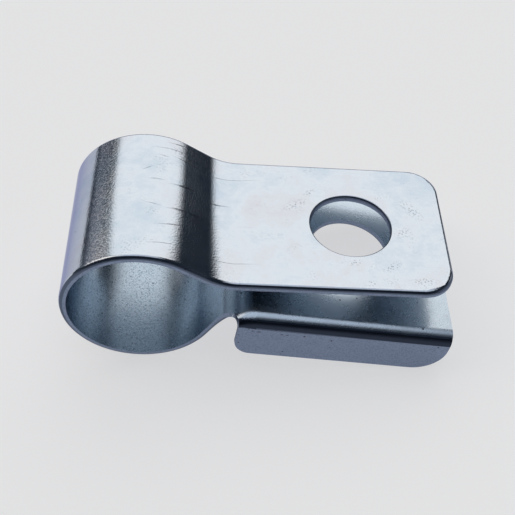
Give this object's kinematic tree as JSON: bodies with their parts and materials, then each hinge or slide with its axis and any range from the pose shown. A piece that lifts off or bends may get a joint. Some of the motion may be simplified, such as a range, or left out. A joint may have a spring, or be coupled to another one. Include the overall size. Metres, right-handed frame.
{
  "type": "single hole pipe clamp",
  "caption": "Folded sheet steel pipe clamp: a round loop whose flat leg and flanged channel leg are pierced for a clamping bolt.",
  "frame": {"origin": "centre of the pipe bore, on the pipe's axis, half way across the strip", "axes": "+Y along the pipe, +X along the flat leg away from the loop, +Z square to the flat leg, out of its outer face"},
  "size_m": [0.043, 0.0236, 0.0172],
  "materials": {
    "zinc_plated_steel": "bright blue-white zinc plate on cold rolled sheet, satin, lightly scuffed"
  },
  "bodies": {
    "root": {"clamp_strap": "zinc_plated_steel"}
  },
  "joints": []
}
